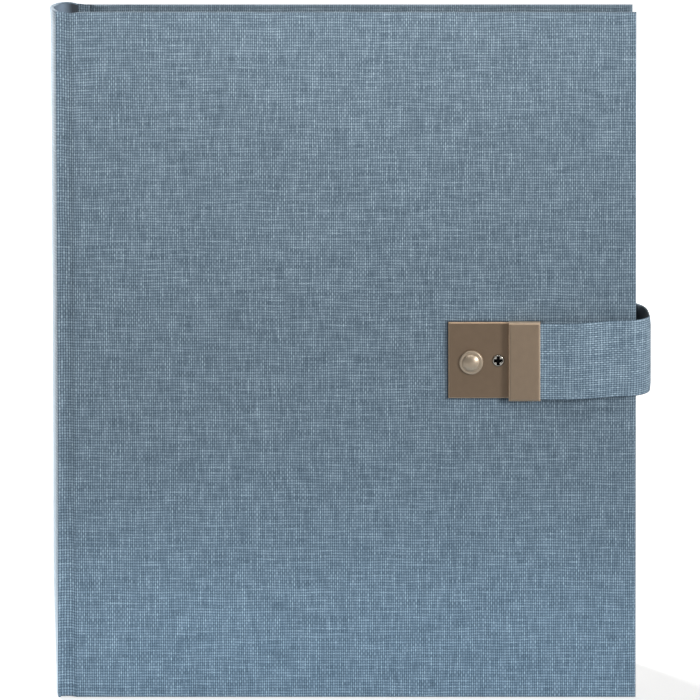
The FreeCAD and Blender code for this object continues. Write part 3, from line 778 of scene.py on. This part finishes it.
def pages(name, verts, faces, uvs, body, node):
    """One object of paper on a body, seen in place of a node."""
    sheets = paint(reworked(make_object(name, verts, faces, uvs, smooth=False), weld), PAPER)
    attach(sheets, body)
    stand_in(sheets, "pages", node)


SHEETS = 34
PAGE_CORNER = 4 * MM
UNEVEN = 0.35 * MM            # how far the stacked sheets' heads and feet differ

pitch = (PAGES_HI.y - PAGES_LO.y) / SHEETS
verts, faces, uvs = [], [], []
for i in range(SHEETS):
    y = PAGES_LO.y + pitch * i
    x1 = PAGES_HI.x + rng.uniform(-0.45, 0.0) * MM
    z0 = PAGES_LO.z + rng.uniform(0.0, 1.0) * UNEVEN
    thick = pitch * rng.uniform(0.78, 0.9)
    z1 = PAGES_HI.z - rng.uniform(0.0, 1.0) * UNEVEN
    sheet_mesh(verts, faces, uvs, PAGES_LO.x, x1, z0, z1, y, y + thick, PAGE_CORNER, 0.0)
pages("page_stack", verts, faces, uvs, "rear_cover", "page_block")

for number, body in enumerate(("leaf_one", "leaf_two", "leaf_three"), 1):
    node = "leaf_%d" % number
    lo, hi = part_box(node)
    verts, faces, uvs = [], [], []
    sheet_mesh(verts, faces, uvs, lo.x, hi.x, lo.z, hi.z, lo.y + 0.1 * MM, hi.y - 0.05 * MM,
               PAGE_CORNER, 0.12 * MM, 12, 14)
    pages("turning_" + node, verts, faces, uvs, body, node)


# ---- strap --------------------------------------------------------------------------------------

TAIL_LO, TAIL_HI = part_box("strap_tail")
LOOP_LO, LOOP_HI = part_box("strap_loop")
FLAP_LO, FLAP_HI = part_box("strap_front")
CAP_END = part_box("end_cap")[1].x
STRAP_T = TAIL_HI.y - TAIL_LO.y
OUT_X = LOOP_HI.x - STRAP_T / 2
REAR_MID = (TAIL_LO.y + TAIL_HI.y) / 2
FRONT_MID = FLAP_LO.y + STRAP_T / 2
STRAP_Z = (TAIL_LO.z + TAIL_HI.z) / 2
HALF_W = (TAIL_HI.z - TAIL_LO.z) / 2
REAR_BEND_X, FRONT_BEND_X = TAIL_HI.x, FLAP_HI.x
REAR_BEND_Y, FRONT_BEND_Y = LOOP_HI.y, LOOP_LO.y
REAR_BEND_R = OUT_X - REAR_BEND_X
FRONT_BEND_R = OUT_X - FRONT_BEND_X
STRAP_BOW = 1.7 * MM          # how far the strap's front stands off the cover in its middle
STRAP_CLIMB = 1.5 * MM        # how far the front climbs towards the fore-edge
STRAP_FALL = 2.7 * MM         # and how far the strap comes down behind it
STRAP_EDGE = 2.5 * MM         # the band along both edges that is pressed thinner
EDGE_THINNING = 0.45


def strap_path(part):
    """Points (x, y, angle of the outward normal) along the middle of the strap's thickness."""
    out = []
    middle = (REAR_BEND_Y + FRONT_BEND_Y) / 2
    front_run = FRONT_BEND_X - CAP_END
    if part == "rear":
        for x in steps((TAIL_LO.x, 3), (TAIL_LO.x + 1 * MM, 14), (REAR_BEND_X, 1)):
            out.append((x, REAR_MID, math.pi / 2))
        long = REAR_MID - middle - 1 * MM
        for i in range(1, 21):
            a = math.pi / 2 * (1 - i / 20)
            x, y = REAR_BEND_X + REAR_BEND_R * math.cos(a), REAR_MID - long * (1 - math.sin(a))
            out.append((x, y, math.atan2(math.sin(a) * REAR_BEND_R, math.cos(a) * long)))
        for y in steps((REAR_MID - long, 2), (middle, 1))[1:]:
            out.append((OUT_X, y, 0.0))
    else:
        for y in steps((middle, 6), (FRONT_BEND_Y, 1)):
            out.append((OUT_X, y, 0.0))
        for i in range(1, 17):
            a = -math.pi / 2 * i / 16
            x = FRONT_BEND_X + FRONT_BEND_R * math.cos(a)
            out.append((x, FRONT_BEND_Y + FRONT_BEND_R * math.sin(a), a))
        for x in steps((FRONT_BEND_X, 24), (FLAP_LO.x + 1 * MM, 1))[1:]:
            t = max((x - CAP_END) / front_run, 0.0)
            rise = STRAP_BOW * math.sin(math.pi * t) ** 2
            slope = STRAP_BOW * math.pi * math.sin(2 * math.pi * t) / front_run
            out.append((x, FRONT_MID - rise, -math.pi / 2 - slope))
    return out


def strap_section(half_w, low, high, edge):
    """A flat section with rounded edges, as (across, out) points going round."""
    r = min(edge, (high - low) / 2)
    flat = [(-1 + 2 * i / 10) * (half_w - r) for i in range(11)]

    def corner(way_w, way_out, *degrees):
        w, out = way_w * (half_w - r), (high - r if way_out > 0 else low + r)
        return [(w + r * math.cos(math.radians(a)), out + r * math.sin(math.radians(a))) for a in degrees]

    points = [(w, high) for w in flat]
    points += corner(1, 1, 67.5, 45, 22.5, 0) + corner(1, -1, 0, -22.5, -45, -67.5)
    points += [(w, low) for w in reversed(flat)]
    points += corner(-1, -1, 247.5, 225, 202.5, 180) + corner(-1, 1, 180, 157.5, 135, 112.5)
    keep = []
    for p in points:
        if not keep or (abs(p[0] - keep[-1][0]) + abs(p[1] - keep[-1][1])) > 1e-7:
            keep.append(p)
    return keep


def askew(x, y):
    """The strap is not quite level: it climbs to the fore-edge in front and comes down behind it."""
    climb = smooth_step((x - CAP_END) / (FRONT_BEND_X - CAP_END)) if y < MID_Y else 1.0
    across = (y - FRONT_MID) / (REAR_MID - FRONT_MID)
    return STRAP_CLIMB * climb - STRAP_FALL * smooth_step(across)


def sweep(name, path, section, material, u0=0.0):
    """Carries the section along the path; u0 is where the thread pattern starts."""
    verts, faces, uvs = [], [], []
    m = len(section)
    run = u0
    for j, (x, y, a) in enumerate(path):
        if j:
            run += math.hypot(x - path[j - 1][0], y - path[j - 1][1])
        for w, t in section:
            t *= 1.0 - EDGE_THINNING * smooth_step((abs(w) - HALF_W + STRAP_EDGE) / STRAP_EDGE)
            verts.append((x + t * math.cos(a), y + t * math.sin(a), STRAP_Z + w + askew(x, y)))
            uvs.append((run, w + (t if w > 0 else -t) * (0.5 if abs(w) > HALF_W - MM else 0.0)))
    for j in range(len(path) - 1):
        for i in range(m):
            a, b = j * m + i, j * m + (i + 1) % m
            faces.append((a, b, b + m, a + m))
    faces.append(tuple(reversed(range(m))))
    last = (len(path) - 1) * m
    faces.append(tuple(range(last, last + m)))
    obj = make_object(name, verts, faces, uvs)
    return sharpen(paint(reworked(obj, outward), material), 50)


lining_lo, lining_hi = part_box("strap_loop_lining")
STRAP_LINING_T = lining_hi.x - lining_lo.x
body_section = strap_section(HALF_W, -STRAP_T / 2 + STRAP_LINING_T * 0.6, STRAP_T / 2, 0.75 * MM)
lining_section = strap_section(HALF_W - 0.5 * MM, -STRAP_T / 2, -STRAP_T / 2 + STRAP_LINING_T, 0.2 * MM)
# part: where its cloth's thread pattern starts, two bodies and two points that nothing uses, and
# the nodes of cloth and of lining it stands for
STRAP_PARTS = {
    "rear": (0.0, ("rear_cover", "strap_side", (REAR_BEND_X, REAR_MID, 0), (OUT_X, REAR_BEND_Y, 0)),
             ("strap_tail", "strap_rear_bend", "strap_loop"), "strap_loop_lining"),
    "front": (0.07, ("strap_side", "strap_end", (OUT_X, FRONT_BEND_Y, 0), (FRONT_BEND_X, FRONT_MID, 0)),
              ("strap_front", "strap_front_bend"), "strap_front_lining"),
}
for part, (pattern_start, fold, cloth_nodes, lining_node) in STRAP_PARTS.items():
    path = strap_path(part)
    outside = sweep("strap_linen_" + part, path, body_section, LINEN_STRAP, pattern_start)
    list(fold)
    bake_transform(outside)
    stand_in(outside, "strap_linen", *cloth_nodes)
    inside = sweep("strap_lining_" + part, path, lining_section, STRAP_LINING)
    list(fold)
    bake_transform(inside)
    stand_in(inside, "strap_lining", lining_node)


# ---- latch spring -------------------------------------------------------------------------------

def coil_spring(wire, turns):
    """A round-wire coil lying along x, in the place of the latch's spring."""
    lo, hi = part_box("latch_spring")
    centre = (lo + hi) / 2
    radius = (hi.z - lo.z) / 2 - wire
    x0, x1 = lo.x + wire, hi.x - wire
    per_turn, around = 20, 8
    verts, faces, uvs = [], [], []
    count = turns * per_turn
    for j in range(count + 1):
        turn = 2 * math.pi * j / per_turn
        out = Vector((0, math.cos(turn), math.sin(turn)))
        at = Vector((x0 + (x1 - x0) * j / count, centre.y, centre.z)) + out * radius
        for i in range(around):
            a = 2 * math.pi * i / around
            verts.append(at + out * wire * math.cos(a) + Vector((1, 0, 0)) * wire * math.sin(a))
            uvs.append((turn * radius, a * wire))
    for j in range(count):
        for i in range(around):
            a, b = j * around + i, j * around + (i + 1) % around
            faces.append((a, b, b + around, a + around))
    faces.append(tuple(reversed(range(around))))
    faces.append(tuple(range(count * around, (count + 1) * around)))
    coil = make_object("latch_spring_coil", verts, faces, uvs)
    sharpen(paint(reworked(coil, outward), STEEL), 60)
    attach(coil, "front_cover")
    stand_in(coil, "works_steel", "latch_spring")
    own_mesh(coil)


coil_spring(wire=0.2 * MM, turns=4)


# ---- metal and carried-over nodes ---------------------------------------------------------------

CARRIED = {
    "lock_plate": PLATE_METAL, "lock_back_plate": PLATE_METAL, "end_cap": CAP_METAL,
    "key_sleeve": SLEEVE_METAL, "key_plug": KEY_METAL,
    "button_collar": BUTTON_METAL, "push_button": BUTTON_METAL, "tail_rivets": BUTTON_METAL,
    "hasp": STEEL, "lock_case": STEEL, "lock_screws": STEEL, "latch_slider": STEEL, "key_cam": STEEL,
    "binding_bar": STEEL, "screw_posts": STEEL, "post_screws": STEEL, "leaf_stubs": PAPER,
}
for node, material in CARRIED.items():
    obj = frame["nodes"][node]
    if obj.material_slots:
        for slot in obj.material_slots:
            slot.material = material
    else:
        obj.data.materials.append(material)


# ---- stage, light and camera --------------------------------------------------------------------

def floor():
    """A pale floor that fades into the white backdrop with distance. Returns a collection that
    keeps the light of a lamp away from it."""
    n = Nodes("studio_floor")
    x, y, z = n.object_mm()
    soft = n.noise(n.vector(x, y, z), 0.002, 2)
    distance = n.math("SQRT", n.math("ADD", n.math("MULTIPLY", x, x), n.math("MULTIPLY", y, y)))
    tone = n.mix(n.range(soft, 0.3, 0.7, 0.0, 1.0), (0.84, 0.84, 0.84), (0.88, 0.88, 0.88))
    n.set(Base_Color=tone, Roughness=0.95)
    rays = n.tree.nodes.new("ShaderNodeLightPath")
    fade = n.range(distance, 300.0, 1000.0, 0.50, 1.0)
    seen = n.math("MULTIPLY", rays.outputs["Is Camera Ray"], fade)
    n.set(Emission_Color=(1.0, 1.0, 1.0), Emission_Strength=n.math("ADD", seen, 0.03))
    n.bsdf.inputs["Specular IOR Level"].default_value = 0.1
    bpy.ops.mesh.primitive_plane_add(size=60.0, location=(0, 0, -0.0002))
    plane = bpy.context.object
    plane.name = "studio_floor"
    paint(plane, n.mat)
    floor_only = bpy.data.collections.new("not_lit_by_rims")
    floor_only.objects.link(plane)
    floor_only.collection_objects[0].light_linking.link_state = "EXCLUDE"
    return floor_only


def area(name, location, target, width, height, watts, colour=(1, 1, 1), skips=None):
    """A lamp that faces its target; skips is a collection it doesn't light."""
    data = bpy.data.lights.new(name, "AREA")
    data.shape = "RECTANGLE"
    data.size, data.size_y = width, height
    data.energy = watts
    data.color = colour
    obj = bpy.data.objects.new(name, data)
    bpy.context.scene.collection.objects.link(obj)
    obj.location = location
    obj.visible_camera = False
    obj.rotation_euler = (Vector(target) - Vector(location)).to_track_quat("-Z", "Y").to_euler()
    obj.light_linking.receiver_collection = skips


not_floor = floor()
area("key_right", (4.05, -3.6, 2.06), (0.05, 0, 0.16), 1.3, 1.3, 262)
area("edge_left", (-1.6, 1.35, 0.6), (-0.13, 0, 0.16), 0.6, 1.3, 70)
area("head_rim", (0.0, FRONT_Y - 0.16, HEIGHT + 0.13), (0, FRONT_Y, HEIGHT - 0.02), 0.4, 0.06, 0.45,
     skips=not_floor)
area("foot_rim", (0.0, FRONT_Y - 0.08, 0.02), (0, FRONT_Y, 0.01), 0.4, 0.04, 0.10, (0.55, 0.8, 1.0),
     skips=not_floor)

# white to the camera, a faint fill to everything else
FILL = 0.10
world = bpy.data.worlds.new("studio")
bpy.context.scene.world = world
world.use_nodes = True
nodes, links = world.node_tree.nodes, world.node_tree.links
fill = nodes["Background"]
backdrop = nodes.new("ShaderNodeBackground")
rays = nodes.new("ShaderNodeLightPath")
choose = nodes.new("ShaderNodeMixShader")
fill.inputs["Color"].default_value = backdrop.inputs["Color"].default_value = (1.0, 1.0, 1.0, 1.0)
fill.inputs["Strength"].default_value = FILL
links.new(rays.outputs["Is Camera Ray"], choose.inputs[0])
links.new(fill.outputs[0], choose.inputs[1])
links.new(backdrop.outputs[0], choose.inputs[2])
links.new(choose.outputs[0], nodes["World Output"].inputs[0])
bpy.context.scene.view_settings.view_transform = "Standard"

LENS = 101.3966               # millimetres, on a sensor 36 wide
SHIFT_X = -0.26700            # shares of the sensor's width
SHIFT_Y = -0.68814
TILT = 0.025                  # radians below the horizontal
CAMERA_FROM = Vector(((FORE_X + SPINE_X) / 2, FRONT_Y, 0))   # the foot of the front cover
CAMERA_AT = CAMERA_FROM + Vector((86.9, -900.0, 405.4)) * MM
camera_data = bpy.data.cameras.new("camera")
camera = bpy.data.objects.new("camera", camera_data)
bpy.context.scene.collection.objects.link(camera)
camera.location = CAMERA_AT
camera.rotation_euler = (math.pi / 2 - TILT, 0, 0)
camera_data.sensor_width = 36.0
camera_data.lens = LENS
camera_data.clip_start, camera_data.clip_end = 0.05, 50


def shift_at_photo_place(channel, value):
    """The lens shift holds only while the camera stands where the reference view was taken."""
    driver = camera_data.driver_add(channel).driver
    driver.type = "SCRIPTED"
    var = driver.variables.new()
    var.name = "y"
    var.type = "TRANSFORMS"
    var.targets[0].id = camera
    var.targets[0].transform_type = "LOC_Y"
    driver.expression = "%.5f if abs(y - %.6f) < 0.00001 else 0" % (value, CAMERA_AT.y)


shift_at_photo_place("shift_x", SHIFT_X)
shift_at_photo_place("shift_y", SHIFT_Y)
bpy.context.scene.camera = camera
